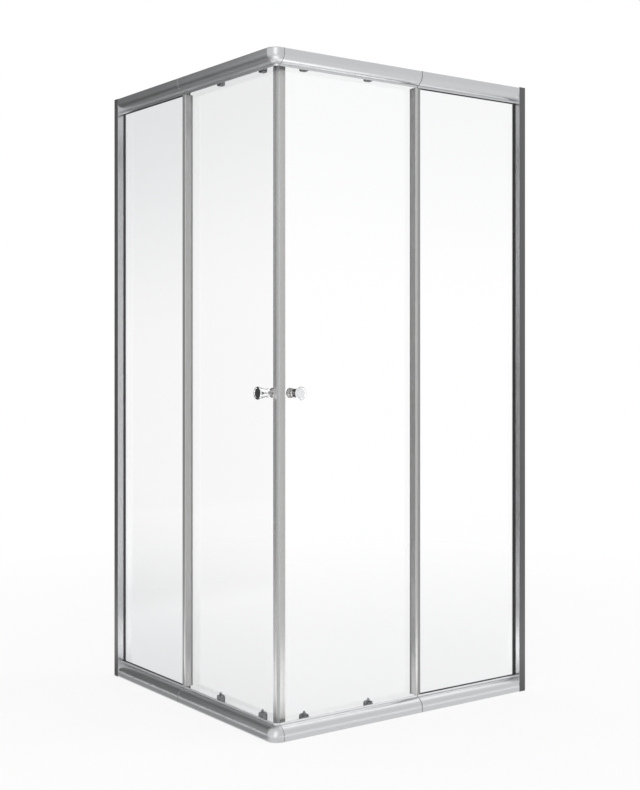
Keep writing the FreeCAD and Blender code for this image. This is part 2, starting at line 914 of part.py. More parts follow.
def make_top_rollers():
    """The hanging brackets and their wheels, which roll on the top track's ledge."""
    half, face, arm = d.bracket_half, d.bracket_face, d.bracket_arm
    foot = d.full_height - d.top_bracket_foot
    waist = d.full_height - d.top_bracket_waist
    head = d.full_height - d.top_bracket_head
    axle_rise = d.full_height - d.top_axle_level
    bracket = new_body("top_bracket_near", d.roller_near)
    plate = [
        (-half, foot, 5),
        (half, foot, 5),
        (half, waist),
        (half - 3, waist + 6),
        (half - 3, head, 4),
        (3 - half, head, 4),
        (3 - half, waist + 6),
        (-half, waist),
    ]
    add(bracket, "elevation", face, arm, plate)
    shoulder = [(-half, foot, 5), (half, foot, 5), (half, waist), (-half, waist)]
    add(bracket, "elevation", arm, d.bracket_back, shoulder)
    add(bracket, "elevation", arm, d.wheel_back + 0.2, Circle(0, axle_rise, d.top_axle))
    add_boss(bracket, d.full_height - d.boss_level)
    pair = group("top_roller_brackets_front", bracket, across_rollers("top_bracket_far", bracket))
    keep_both_sides("top_roller_brackets", pair)

    bore, rim = d.top_axle + d.axle_fit, d.top_wheel
    hub_face, wheel_face, wheel_back = arm + 0.3, d.wheel_face, d.wheel_back
    outline = [
        (bore, hub_face),
        (bore + 2, hub_face),
        (bore + 2, wheel_face),
        (rim - 0.5, wheel_face),
        (rim, wheel_face + 0.5),
        (rim, wheel_back - 0.5),
        (rim - 0.5, wheel_back),
        (bore, wheel_back),
    ]
    near = new_body("top_wheel_near_front", d.roller_near, 0, axle_rise)
    turn(near, "plan", outline)
    keep_both_sides("top_wheel_near", near)
    keep_both_sides("top_wheel_far", across_rollers("top_wheel_far_front", near))


def make_bottom_rollers():
    """The bottom brackets, with sprung plungers that carry wheels on the bottom track's bead."""
    half, face, back = d.bracket_half, d.bracket_face, d.bracket_back
    foot, ceiling, head = d.low_bracket_foot, d.low_bracket_ceiling, d.low_bracket_head
    bracket = new_body("bottom_bracket_near", d.roller_near)
    shell = [(-half, foot), (half, foot), (half, head, 6.5), (-half, head, 6.5)]
    add(bracket, "elevation", face, back, shell)
    add_boss(bracket, d.boss_level)
    cheek = half - 1.6
    cut(bracket, "elevation", face + 2.3, back - 1.5, rectangle(-cheek, foot - 1, cheek, ceiling))
    cut(bracket, "plan", ceiling - 1, d.spring_seat, Circle(0, d.plunger_inset, d.plunger_bore))
    cut(bracket, "plan", d.spring_seat - 1, head + 1, Circle(0, d.plunger_inset, d.plunger_stem + 0.3))
    pair = group("bottom_roller_brackets_front", bracket, across_rollers("bottom_bracket_far", bracket))
    keep_both_sides("bottom_roller_brackets", pair)

    plunger = new_body("release_plunger_near_front", d.roller_near, d.plunger_inset)
    barrel_foot = d.low_axle_rise + d.low_wheel + 0.4
    nub, nub_foot, nub_top = d.nub_radius, head + 0.4, head + d.nub_height
    plunger_outline = [
        (0, barrel_foot),
        (d.plunger_radius, barrel_foot),
        (d.plunger_radius, d.plunger_seat),
        (d.plunger_stem, d.plunger_seat),
        (d.plunger_stem, nub_foot),
        (nub - 0.4, nub_foot),
        (nub, nub_foot + 0.4),
        (nub, nub_foot + 2),
        (nub - 1.2, nub_top - 2.5),
        Bend(nub - 3.7, nub_top - 2.5, 2.5),
        (nub - 3.7, nub_top),
        (0, nub_top),
    ]
    turn(plunger, "elevation", plunger_outline)
    arm_face, arm_back = face + 2.7 - d.plunger_inset, d.wheel_face - 0.5 - d.plunger_inset
    arm_half = 4.5
    arm = rectangle(-arm_half, d.low_axle_rise - 5.5, arm_half, barrel_foot + 2, 1.5)
    add(plunger, "elevation", arm_face, arm_back, arm)
    axle = Circle(0, d.low_axle_rise, d.low_axle)
    add(plunger, "elevation", arm_back, d.wheel_back + 0.3 - d.plunger_inset, axle)
    keep_both_sides("release_plunger_near", plunger)
    keep_both_sides("release_plunger_far", across_rollers("release_plunger_far_front", plunger))

    spring = new_body("plunger_spring_near_front", d.roller_near, d.plunger_inset)
    coil_inner = d.plunger_stem + 0.4
    coil = [Circle(0, 0, coil_inner + d.spring_wall), Circle(0, 0, coil_inner)]
    add(spring, "plan", d.plunger_seat + 0.05, d.spring_seat - 0.05, *coil)
    keep_both_sides("plunger_spring_near", spring)
    keep_both_sides("plunger_spring_far", across_rollers("plunger_spring_far_front", spring))

    bore, rim = d.low_axle + d.axle_fit, d.low_wheel
    groove_face, groove_back = d.bead_inset - 0.4, d.bead_inset + d.bead_width + 0.4
    wheel_outline = [
        (bore, d.wheel_face - 0.2),
        (bore + 2, d.wheel_face - 0.2),
        (bore + 2, d.wheel_face),
        (rim, d.wheel_face),
        (rim, groove_face - 0.4),
        (rim - 2, groove_face),
        (rim - 2, groove_back),
        (rim, groove_back + 0.4),
        (rim, d.wheel_back),
        (bore, d.wheel_back),
    ]
    near = new_body("bottom_wheel_near_front", d.roller_near, 0, d.low_axle_rise)
    turn(near, "plan", wheel_outline)
    keep_both_sides("bottom_wheel_near", near)
    keep_both_sides("bottom_wheel_far", across_rollers("bottom_wheel_far_front", near))


# ---- the whole -----------------------------------------------------------------------------------


def check_document():
    """Stop if an object failed, a shape is not sound, or a pocket or cut took nothing away."""
    for thing in doc.Objects:
        if {"Invalid", "Error"} & set(thing.State):
            raise RuntimeError(f"{thing.Label} is in state {thing.State}")
        if thing.TypeId == "PartDesign::Pocket":
            if thing.Shape.Volume > thing.BaseFeature.Shape.Volume - 0.01:
                raise RuntimeError(f"{thing.Label} cuts nothing")
    for label, thing in nodes.items():
        if thing.Shape.isNull() or not thing.Shape.isValid() or thing.Shape.Volume <= 0:
            raise RuntimeError(f"{label} is not a sound shape")


def write_steps():
    """Write each piece to its own file."""
    os.makedirs("parts", exist_ok=True)
    for label, thing in nodes.items():
        thing.Shape.exportStep(f"parts/{label}.step")


make_covers()
make_joint_clips()
make_corner_caps()
make_tracks()
make_corner_braces()
make_end_blocks()
make_wall_channel()
make_wall_post()
make_post_screws()
make_fixed_glass()
make_glass_gaskets()
make_edge_post()
make_edge_seals()
make_door_glass()
make_door_profiles()
make_knobs()
make_top_rollers()
make_bottom_rollers()
doc.recompute()
check_document()
write_steps()
print(f"{len(nodes)} pieces written")
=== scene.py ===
import json
import math

import bmesh
import bpy
from mathutils import Matrix, Vector


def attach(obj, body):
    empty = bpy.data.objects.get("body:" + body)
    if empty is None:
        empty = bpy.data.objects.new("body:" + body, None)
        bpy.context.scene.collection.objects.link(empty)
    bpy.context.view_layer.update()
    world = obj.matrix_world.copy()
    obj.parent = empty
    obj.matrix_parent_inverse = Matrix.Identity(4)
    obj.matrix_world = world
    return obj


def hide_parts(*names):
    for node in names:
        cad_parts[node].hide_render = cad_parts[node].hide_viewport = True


# Looks of a square corner shower enclosure: curved metal rails, framed glass doors on rollers and knobs.
# A piece is shaped by run along a side, inset from its outer plane and rise above the tray, and then put
# on its side. The front side lies along X, and the left side is its mirror image about the plane x = y.

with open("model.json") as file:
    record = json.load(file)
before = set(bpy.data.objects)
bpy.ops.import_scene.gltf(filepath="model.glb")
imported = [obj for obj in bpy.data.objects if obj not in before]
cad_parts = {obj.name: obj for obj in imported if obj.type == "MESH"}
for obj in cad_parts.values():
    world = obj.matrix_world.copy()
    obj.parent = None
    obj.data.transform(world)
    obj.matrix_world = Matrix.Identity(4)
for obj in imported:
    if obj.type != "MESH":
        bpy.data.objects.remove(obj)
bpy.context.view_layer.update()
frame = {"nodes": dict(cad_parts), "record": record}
record = frame["record"]
body_of = {node: body for body, members in record["behaviour"]["bodies"].items() for node in members}

MM = 0.001
HALF_SIDE = 450 * MM
HEIGHT = 1800 * MM
SIDES = ("front", "left")
ENDS = ("bottom", "top")

# rail covers and the caps over the corner
COVER_WALL = 1.6 * MM
COVER_FLAT = 12 * MM
COVER_BEND = 29 * MM
COVER_EDGE = 3 * MM
COVER_FLANGE = 24 * MM
COVER_LIP = 22 * MM
COVER_HEIGHT = 45 * MM
CAP_RADIUS = 34 * MM
COVER_SPANS = {"door": (35 * MM, 498.5 * MM), "fixed": (501.5 * MM, 877 * MM)}
EASED_EDGE = 0.35 * MM
# how far in from its side's plane a wall post's face may lie and still get painted shade
PAINTED_SHADE_INSET = 1.5 * MM

# knobs, and how far their chrome turns from the view before its painted dark reflection sets in (0 faces the
# view, 1 is edge on)
KNOB_RUN = 95 * MM
KNOB_RISE = 902 * MM
PAINTED_RIM_FROM = 0.38
PAINTED_RIM_FULL = 0.75

# the photograph's camera
CAMERA_PLACE = (-2.29086, -3.23036, 1.00632)
CAMERA_HEADING = -math.atan2(0.59817, 0.80137)
CAMERA_LENS = 58.989
CAMERA_SHIFT = (-0.03361, -0.05236)


# ---- placing and finishing -----------------------------------------------------------------------


def on_side(side):
    """The transform from run, inset and rise to the frame."""
    place = Matrix.Translation((-HALF_SIDE, -HALF_SIDE, 0))
    if side == "left":
        place = place @ Matrix(((0, 1, 0, 0), (1, 0, 0, 0), (0, 0, 1, 0), (0, 0, 0, 1)))
    return place


def at_end(end):
    """The transform that turns a bottom rail's piece into the top rail's."""
    if end == "bottom":
        return Matrix.Identity(4)
    return Matrix.Translation((0, 0, HEIGHT)) @ Matrix.Diagonal((1, 1, -1, 1))


def ease(mesh, width, steps=2, least=35.0):
    """Round off every edge that is sharper than an angle."""
    hard = [
        edge
        for edge in mesh.edges
        if edge.is_manifold and edge.calc_face_angle(0.0) > math.radians(least)
    ]
    bmesh.ops.bevel(
        mesh, geom=hard, offset=width, offset_type="OFFSET", segments=steps, profile=0.5,
        affect="EDGES", clamp_overlap=True, material=-1,
    )


def show(name, mesh, material, *nodes, crease=32.0):
    """Make a mesh a piece that stands for CAD nodes: it takes their body.

    Faces that meet at less than the crease angle shade smoothly, and large flat faces keep their normals.
    """
    bmesh.ops.remove_doubles(mesh, verts=mesh.verts, dist=0.5e-6)
    bmesh.ops.recalc_face_normals(mesh, faces=mesh.faces)
    data = bpy.data.meshes.new(name)
    mesh.to_mesh(data)
    mesh.free()
    data.materials.append(material)
    piece = bpy.data.objects.new(name, data)
    bpy.context.scene.collection.objects.link(piece)
    if crease:
        data.polygons.foreach_set("use_smooth", [True] * len(data.polygons))
        data.set_sharp_from_angle(angle=math.radians(crease))
        flats = piece.modifiers.new("flats", "WEIGHTED_NORMAL")
        flats.keep_sharp = True
    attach(piece, body_of[nodes[0]])
    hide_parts(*nodes)
    return piece


def refine(node, material, edge=0.25 * MM, steps=2, crease=32.0):
    """A CAD node's copy with whole faces in place of triangles and its hard edges eased."""
    mesh = bmesh.new()
    mesh.from_mesh(frame["nodes"][node].data)
    bmesh.ops.remove_doubles(mesh, verts=mesh.verts, dist=1e-6)
    bmesh.ops.dissolve_limit(
        mesh, angle_limit=math.radians(0.5), use_dissolve_boundaries=False, verts=mesh.verts, edges=mesh.edges
    )
    if edge:
        ease(mesh, edge, steps)
    return show(f"{node}_finished", mesh, material, node, crease=crease)


def paint_face_shade(post, side):
    """Give the face that looks out of the side, and its rounded corner, painted shade: a near-black tone for
    the dark surroundings it mirrors.
    """
    post.data.materials.append(WALL_FACE_PAINTED_SHADE)
    inwards = Vector((0, 1, 0)) if side == "front" else Vector((1, 0, 0))
    for face in post.data.polygons:
        if face.center.dot(inwards) < PAINTED_SHADE_INSET - HALF_SIDE and face.normal.dot(inwards) < -0.5:
            face.material_index = 1


def keep_node(node, material):
    """Give a CAD node that stays its material."""
    frame["nodes"][node].data.materials[0] = material


# ---- materials -----------------------------------------------------------------------------------


def node_group(name, inputs, outputs):
    """An empty shader node group with named sockets."""
    group = bpy.data.node_groups.new(name, "ShaderNodeTree")
    for label, kind, value in inputs:
        socket = group.interface.new_socket(label, in_out="INPUT", socket_type=kind)
        if value is not None:
            socket.default_value = value
    for label, kind in outputs:
        group.interface.new_socket(label, in_out="OUTPUT", socket_type=kind)
    return group, group.nodes.new("NodeGroupInput"), group.nodes.new("NodeGroupOutput")


def math_node(tree, operation, *values):
    """A Math node whose inputs are sockets or numbers."""
    node = tree.nodes.new("ShaderNodeMath")
    node.operation = operation
    for place, value in enumerate(values):
        if isinstance(value, bpy.types.NodeSocket):
            tree.links.new(value, node.inputs[place])
        else:
            node.inputs[place].default_value = value
    return node.outputs[0]


def noise_node(tree, vector, detail, roughness=0.5):
    """A noise pattern, one unit of its vector to the cell."""
    node = tree.nodes.new("ShaderNodeTexNoise")
    node.inputs["Scale"].default_value = 1.0
    node.inputs["Detail"].default_value = detail
    node.inputs["Roughness"].default_value = roughness
    tree.links.new(vector, node.inputs["Vector"])
    return node.outputs["Fac"]


def stretched(tree, vector, stretch):
    """A vector multiplied by a stretch."""
    node = tree.nodes.new("ShaderNodeVectorMath")
    node.operation = "MULTIPLY"
    tree.links.new(vector, node.inputs[0])
    if isinstance(stretch, bpy.types.NodeSocket):
        tree.links.new(stretch, node.inputs[1])
    else:
        node.inputs[1].default_value = stretch
    return node.outputs[0]


def make_surface_group():
    """Fine lines or grain over slow clouds: a tone, a roughness and a height that change over the surface."""
    group, given, out = node_group(
        "surface_grain",
        [
            ("Vector", "NodeSocketVector", None),
            ("Stretch", "NodeSocketVector", (1000, 1000, 1000)),
            ("Tone", "NodeSocketColor", (0.8, 0.8, 0.8, 1)),
            ("Tone Change", "NodeSocketFloat", 0.04),
            ("Roughness", "NodeSocketFloat", 0.3),
            ("Roughness Change", "NodeSocketFloat", 0.08),
        ],
        [("Tone", "NodeSocketColor"), ("Roughness", "NodeSocketFloat"), ("Height", "NodeSocketFloat")],
    )
    grain = noise_node(group, stretched(group, given.outputs["Vector"], given.outputs["Stretch"]), 3.0, 0.6)
    clouds = noise_node(group, stretched(group, given.outputs["Vector"], (9, 9, 5)), 2.0)
    fine_part = math_node(group, "MULTIPLY", grain, 0.55)
    slow_part = math_node(group, "MULTIPLY", clouds, 0.45)
    mixed = math_node(group, "ADD", fine_part, slow_part)
    centred = math_node(group, "SUBTRACT", mixed, 0.5)
    rough = math_node(
        group, "ADD", given.outputs["Roughness"],
        math_node(group, "MULTIPLY", centred, given.outputs["Roughness Change"]),
    )
    shade = math_node(group, "ADD", 1.0, math_node(group, "MULTIPLY", centred, given.outputs["Tone Change"]))
    scaled = group.nodes.new("ShaderNodeVectorMath")
    scaled.operation = "SCALE"
    group.links.new(given.outputs["Tone"], scaled.inputs[0])
    group.links.new(shade, scaled.inputs["Scale"])
    group.links.new(scaled.outputs[0], out.inputs["Tone"])
    group.links.new(rough, out.inputs["Roughness"])
    group.links.new(grain, out.inputs["Height"])
    return group


def make_pane_shade_group():
    """Painted shade on glass: a grey tone that grows towards the rails and depends on the height above the
    tray.
    """
    group, given, out = node_group(
        "pane_painted_shade",
        [
            ("Vector", "NodeSocketVector", None),
            ("Clear", "NodeSocketColor", (1, 1, 1, 1)),
            ("Shaded", "NodeSocketColor", (0.8, 0.82, 0.83, 1)),
            ("Low Reach", "NodeSocketFloat", 0.7),
            ("High Reach", "NodeSocketFloat", 0.7),
        ],
        [("Tone", "NodeSocketColor")],
    )
    split = group.nodes.new("ShaderNodeSeparateXYZ")
    group.links.new(given.outputs["Vector"], split.inputs[0])
    rise = split.outputs["Z"]
    low = math_node(group, "DIVIDE", rise, given.outputs["Low Reach"])
    high = math_node(group, "DIVIDE", math_node(group, "SUBTRACT", HEIGHT, rise), given.outputs["High Reach"])
    near = math_node(group, "MINIMUM", low, high)
    ramp = group.nodes.new("ShaderNodeMapRange")
    ramp.interpolation_type = "SMOOTHSTEP"
    group.links.new(near, ramp.inputs["Value"])
    mix = group.nodes.new("ShaderNodeMix")
    mix.data_type = "RGBA"
    group.links.new(ramp.outputs["Result"], mix.inputs["Factor"])
    group.links.new(given.outputs["Shaded"], mix.inputs["A"])
    group.links.new(given.outputs["Clear"], mix.inputs["B"])
    group.links.new(mix.outputs["Result"], out.inputs["Tone"])
    return group


SURFACE = make_surface_group()
PAINTED_PANE_SHADE = make_pane_shade_group()


def new_material(name, **fixed):
    """A material whose shader's own sockets hold what is the same all over the surface."""
    material = bpy.data.materials.new(name)
    material.use_nodes = True
    shader = material.node_tree.nodes["Principled BSDF"]
    for label, value in fixed.items():
        shader.inputs[label.replace("_", " ")].default_value = value
    return material, material.node_tree, shader


def object_coordinates(tree):
    return tree.nodes.new("ShaderNodeTexCoord").outputs["Object"]


def grained(name, tone, roughness, stretch, relief=0.0, tone_change=0.05, roughness_change=0.12, **fixed):
    """A material with the surface group's tone, roughness and relief."""
    material, tree, shader = new_material(name, **fixed)
    effect = tree.nodes.new("ShaderNodeGroup")
    effect.node_tree = SURFACE
    tree.links.new(object_coordinates(tree), effect.inputs["Vector"])
    effect.inputs["Stretch"].default_value = stretch
    effect.inputs["Tone"].default_value = (*tone, 1)
    effect.inputs["Tone Change"].default_value = tone_change
    effect.inputs["Roughness"].default_value = roughness
    effect.inputs["Roughness Change"].default_value = roughness_change
    tree.links.new(effect.outputs["Tone"], shader.inputs["Base Color"])
    tree.links.new(effect.outputs["Roughness"], shader.inputs["Roughness"])
    if relief:
        bump = tree.nodes.new("ShaderNodeBump")
        bump.inputs["Strength"].default_value = 1.0
        bump.inputs["Distance"].default_value = relief
        tree.links.new(effect.outputs["Height"], bump.inputs["Height"])
        tree.links.new(bump.outputs["Normal"], shader.inputs["Normal"])
    return material


def glazed(name, painted_shade_tone, low_reach, high_reach):
    """Clear glass with painted shade near the rails."""
    material, tree, shader = new_material(
        name, Roughness=0.0, IOR=1.45, Transmission_Weight=1.0, Metallic=0.0
    )
    effect = tree.nodes.new("ShaderNodeGroup")
    effect.node_tree = PAINTED_PANE_SHADE
    tree.links.new(object_coordinates(tree), effect.inputs["Vector"])
    effect.inputs["Shaded"].default_value = (*painted_shade_tone, 1)
    effect.inputs["Low Reach"].default_value = low_reach
    effect.inputs["High Reach"].default_value = high_reach
    tree.links.new(effect.outputs["Tone"], shader.inputs["Base Color"])
    return material


def chrome_with_painted_rim(name, tone, painted_rim_tone):
    """Chrome whose colour is painted darker where it turns away from the view: a painted reflection of dark
    surroundings.
    """
    material = grained(name, tone, 0.06, (400, 400, 400), 0, 0.02, 0.06, Metallic=1.0)
    tree = material.node_tree
    base = tree.nodes["Principled BSDF"].inputs["Base Color"]
    away = tree.nodes.new("ShaderNodeLayerWeight")
    away.inputs["Blend"].default_value = 0.5
    ramp = tree.nodes.new("ShaderNodeMapRange")
    ramp.interpolation_type = "SMOOTHSTEP"
    tree.links.new(away.outputs["Facing"], ramp.inputs["Value"])
    for label, value in (("From Min", PAINTED_RIM_FROM), ("From Max", PAINTED_RIM_FULL)):
        ramp.inputs[label].default_value = value
    mix = tree.nodes.new("ShaderNodeMix")
    mix.data_type = "RGBA"
    tree.links.new(ramp.outputs["Result"], mix.inputs["Factor"])
    tree.links.new(base.links[0].from_socket, mix.inputs["A"])
    mix.inputs["B"].default_value = (*painted_rim_tone, 1)
    tree.links.new(mix.outputs["Result"], base)
    return material


# Grain is stretched along the length in which each profile was drawn.
FINE = 3500
LONG = 12
ALONG = {"front": (LONG, FINE, FINE), "left": (FINE, LONG, FINE), "up": (FINE, FINE, LONG)}
RAIL = {
    side: grained(f"rail_aluminium_{side}", (0.60, 0.61, 0.62), 0.30, ALONG[side], 2e-6, Metallic=1.0)
    for side in SIDES
}
TRACK = {
    side: grained(f"track_aluminium_{side}", (0.66, 0.67, 0.69), 0.34, ALONG[side], 2e-6, Metallic=1.0)
    for side in SIDES
}
POST = grained("post_aluminium", (0.45, 0.45, 0.445), 0.24, ALONG["up"], 2e-6, Metallic=0.5)
WALL_POST = grained("wall_post_aluminium", (0.60, 0.60, 0.61), 0.20, ALONG["up"], 2e-6, Metallic=1.0)
CAP = grained("corner_cap_silver", (0.56, 0.565, 0.57), 0.34, (1600, 1600, 1600), 1e-6, Metallic=0.9)
JOINT = grained("joint_grey", (0.24, 0.24, 0.245), 0.50, (1600, 1600, 1600), 1e-6)
# The knobs' chrome carries a painted dark reflection along its rim.
CHROME = chrome_with_painted_rim("polished_chrome", (0.84, 0.85, 0.86), (0.08, 0.08, 0.08))
# The inner grips' chrome is painted dark: a painted reflection of the dark frame around them.
GRIP_CHROME_PAINTED_DARK = chrome_with_painted_rim("grip_chrome_painted_dark", (0.30, 0.29, 0.27), (0.06, 0.06, 0.055))
# painted shade for the wall posts' outward faces: a painted dark reflection
WALL_FACE_PAINTED_SHADE = grained("wall_post_face_painted_shade", (0.075, 0.076, 0.078), 0.45, ALONG["up"], 2e-6, Metallic=0.0)
STEEL = grained("screw_steel", (0.56, 0.56, 0.57), 0.35, (900, 900, 900), 2e-6, Metallic=1.0)
RUBBER = grained("black_rubber", (0.018, 0.018, 0.019), 0.55, (1800, 1800, 300), 6e-6)
SEAL = grained("grey_seal", (0.25, 0.25, 0.25), 0.42, (1200, 1200, 60), 3e-6)
MAGNET_SEAL = grained("magnet_seal", (0.45, 0.46, 0.46), 0.42, (1200, 1200, 60), 3e-6)
GREY_PLASTIC = grained("grey_plastic", (0.36, 0.365, 0.37), 0.42, (2600, 2600, 2600), 6e-6)
WHEEL_PLASTIC = grained("white_nylon", (0.74, 0.74, 0.71), 0.40, (1400, 1400, 1400), 3e-6)
# The painted shade differs pane by pane: the left panes are painted greyer than the front ones.
GLASS = {
    "fixed_glass_left": glazed("fixed_glass_left", (0.80, 0.81, 0.82), 0.62, 0.85),
    "fixed_glass_front": glazed("fixed_glass_front", (0.93, 0.935, 0.94), 0.62, 0.70),
    "door_glass_left": glazed("door_glass_left", (0.88, 0.885, 0.89), 0.60, 0.70),
    "door_glass_front": glazed("door_glass_front", (0.95, 0.955, 0.96), 0.60, 0.70),
}


# ---- pieces made here ----------------------------------------------------------------------------


def draw_line(mesh, start, *steps):
    """A line of edges: a step is the next point, or an arc's centre, axis, angle in degrees and count."""
    tip = mesh.verts.new(start)
    for step in steps:
        if len(step) == 3:
            tip = bmesh.ops.extrude_vert_indiv(mesh, verts=[tip])["verts"][0]
            tip.co = step
            continue
        centre, axis, angle, count = step
        turned = bmesh.ops.spin(
            mesh, geom=[tip], cent=centre, axis=axis, dvec=(0, 0, 0), angle=math.radians(angle),
            steps=count, use_duplicate=False,
        )
        tip = next(item for item in turned["geom_last"] if isinstance(item, bmesh.types.BMVert))
    return tip


def draw_cover_line(mesh, run):
    """The cover's outer line: flange, rounded edge, flat, quarter round and lip."""
    sweep = math.degrees(math.acos((COVER_BEND - COVER_LIP) / COVER_BEND))
    draw_line(
        mesh,
        (run, COVER_FLANGE, 0),
        (run, COVER_EDGE, 0),
        ((run, COVER_EDGE, COVER_EDGE), (1, 0, 0), -90, 6),
        (run, 0, COVER_FLAT),
        ((run, COVER_BEND, COVER_FLAT), (1, 0, 0), -sweep, 30),
        (run, COVER_LIP, COVER_HEIGHT),
    )


def thicken(mesh, wall):
    """Give a sheet its wall, on the side away from the room."""
    bmesh.ops.recalc_face_normals(mesh, faces=mesh.faces)
    outside = Vector((CAP_RADIUS, -1, 0))
    face = min(mesh.faces, key=lambda item: (item.calc_center_median() - outside).length)
    if face.normal.y > 0:
        bmesh.ops.reverse_faces(mesh, faces=mesh.faces)
    bmesh.ops.solidify(mesh, geom=mesh.faces[:], thickness=wall)


def make_cover(side, end, span):
    """A curved rail cover."""
    low, high = COVER_SPANS[span]
    mesh = bmesh.new()
    draw_cover_line(mesh, low)
    drawn = bmesh.ops.extrude_edge_only(mesh, edges=mesh.edges[:])
    moved = [item for item in drawn["geom"] if isinstance(item, bmesh.types.BMVert)]
    bmesh.ops.translate(mesh, verts=moved, vec=(high - low, 0, 0))
    thicken(mesh, COVER_WALL)
    ease(mesh, EASED_EDGE)
    bmesh.ops.transform(mesh, matrix=on_side(side) @ at_end(end), verts=mesh.verts)
    node = f"{end}_cover_{span}_{side}"
    show(f"{node}_curved", mesh, RAIL[side], node)


def make_cap(end):
    """The corner cap: the cover's line turned a quarter about the corner's upright axis."""
    mesh = bmesh.new()
    draw_cover_line(mesh, CAP_RADIUS)
    bmesh.ops.spin(
        mesh, geom=mesh.verts[:] + mesh.edges[:], cent=(CAP_RADIUS, CAP_RADIUS, 0), axis=(0, 0, 1),
        dvec=(0, 0, 0), angle=math.radians(-90), steps=28, use_duplicate=False,
    )
    thicken(mesh, COVER_WALL)
    ease(mesh, EASED_EDGE)
    bmesh.ops.transform(mesh, matrix=on_side("front") @ at_end(end), verts=mesh.verts)
    node = f"corner_cap_{end}"
    show(f"{node}_rounded", mesh, CAP, node)


def lathe(mesh, run, rise, steps=72):
    """Turn what is drawn about the axis through a run and rise, square to the side."""
    bmesh.ops.spin(
        mesh, geom=mesh.verts[:] + mesh.edges[:], cent=(run, 0, rise), axis=(0, 1, 0), dvec=(0, 0, 0),
        angle=math.tau, steps=steps, use_merge=True, use_duplicate=False,
    )
    bmesh.ops.remove_doubles(mesh, verts=mesh.verts, dist=1e-6)


def knob_point(radius, inset):
    return (KNOB_RUN + radius * MM, inset * MM, KNOB_RISE)


def make_knobs(side):
    """The conical knob outside and the round grip inside."""
    outer = bmesh.new()
    draw_line(
        outer,
        knob_point(0, 12),
        knob_point(13, 12),
        knob_point(14, 11),
        knob_point(16.5, 11),
        (knob_point(16.5, 12.5), (0, 1, 0), -90, 6),
        knob_point(17.8, 13.6),
        knob_point(16.5, 15),
        knob_point(11, 36),
        knob_point(11, 41.3),
        knob_point(11.6, 42.8),
        knob_point(11.6, 45.3),
        knob_point(3, 45.3),
        knob_point(3, 58.5),
        knob_point(0, 58.5),
    )
    lathe(outer, KNOB_RUN, KNOB_RISE)
    bmesh.ops.transform(outer, matrix=on_side(side), verts=outer.verts)
    show(f"knob_outer_{side}_turned", outer, CHROME, f"knob_outer_{side}", crease=24.0)
    inner = bmesh.new()
    draw_line(
        inner,
        knob_point(0, 59.5),
        knob_point(3.2, 59.5),
        knob_point(3.2, 50.7),
        knob_point(9.7, 50.7),
        knob_point(9.7, 52.4),
        knob_point(9.4, 52.8),
        knob_point(7.2, 54.7),
        knob_point(7.2, 56.7),
        knob_point(9.6, 58.0),
        knob_point(13.0, 60.2),
        knob_point(13.5, 61.2),
        knob_point(13.5, 65),
        (knob_point(11.5, 65), (0, 1, 0), -90, 6),
        knob_point(9.5, 67),
        knob_point(8.9, 66.6),
        knob_point(0, 66.6),
    )
    lathe(inner, KNOB_RUN, KNOB_RISE)
    bmesh.ops.transform(inner, matrix=on_side(side), verts=inner.verts)
    show(f"knob_inner_{side}_turned", inner, GRIP_CHROME_PAINTED_DARK, f"knob_inner_{side}", crease=24.0)


# ---- pieces that keep the solid's shape ----------------------------------------------------------


def finish_nodes(side):
    """Ease the edges of one side's profiles, panes and rollers, and give them their finish."""
    for end in ENDS:
        refine(f"{end}_track_{side}", TRACK[side], 0.2 * MM)
    refine(f"wall_channel_{side}", WALL_POST, 0)
    # the wall post's outward face gets painted shade
    paint_face_shade(refine(f"wall_post_{side}", WALL_POST), side)
    refine(f"edge_post_{side}", POST)
    for pane in (f"fixed_glass_{side}", f"door_glass_{side}"):
        refine(pane, GLASS[pane], 0.5 * MM, 1, crease=0)
    refine(f"lead_profile_{side}", POST)
    refine(f"rear_profile_{side}", POST)
    refine(f"magnetic_seal_{side}", MAGNET_SEAL, 0.2 * MM)
    refine(f"top_roller_brackets_{side}", GREY_PLASTIC, 0.5 * MM, 3)
    refine(f"bottom_roller_brackets_{side}", GREY_PLASTIC, 0.5 * MM, 3)
    for place in ("near", "far"):
        refine(f"top_wheel_{place}_{side}", WHEEL_PLASTIC, 0.2 * MM)
        refine(f"bottom_wheel_{place}_{side}", WHEEL_PLASTIC, 0.2 * MM)
        refine(f"release_plunger_{place}_{side}", GREY_PLASTIC, 0.2 * MM)
        keep_node(f"plunger_spring_{place}_{side}", STEEL)


def finish_shared_nodes():
    """The pieces that both sides share."""
    refine("cover_joint_clips", JOINT, 0)
    refine("corner_braces", TRACK["front"], 0.3 * MM)
    refine("rail_end_blocks", GREY_PLASTIC, 0.5 * MM)
    refine("post_screws", STEEL, 0.1 * MM)
    refine("glass_gaskets", RUBBER, 0.2 * MM)
    refine("overlap_seals", SEAL, 0.1 * MM)


for side in SIDES:
    for end in ENDS:
        for span in COVER_SPANS:
            make_cover(side, end, span)
    make_knobs(side)
    finish_nodes(side)
for end in ENDS:
    make_cap(end)
finish_shared_nodes()


# ---- floor, backdrop, lamps and camera -----------------------------------------------------------


def seen_directly(tree):
    """1 for rays from the camera, by reflection or through glass, and 0 for light that falls on things."""
    path = tree.nodes.new("ShaderNodeLightPath")
    by_metal = math_node(tree, "MAXIMUM", path.outputs["Is Camera Ray"], path.outputs["Is Glossy Ray"])
    return math_node(tree, "MAXIMUM", by_metal, path.outputs["Is Transmission Ray"])


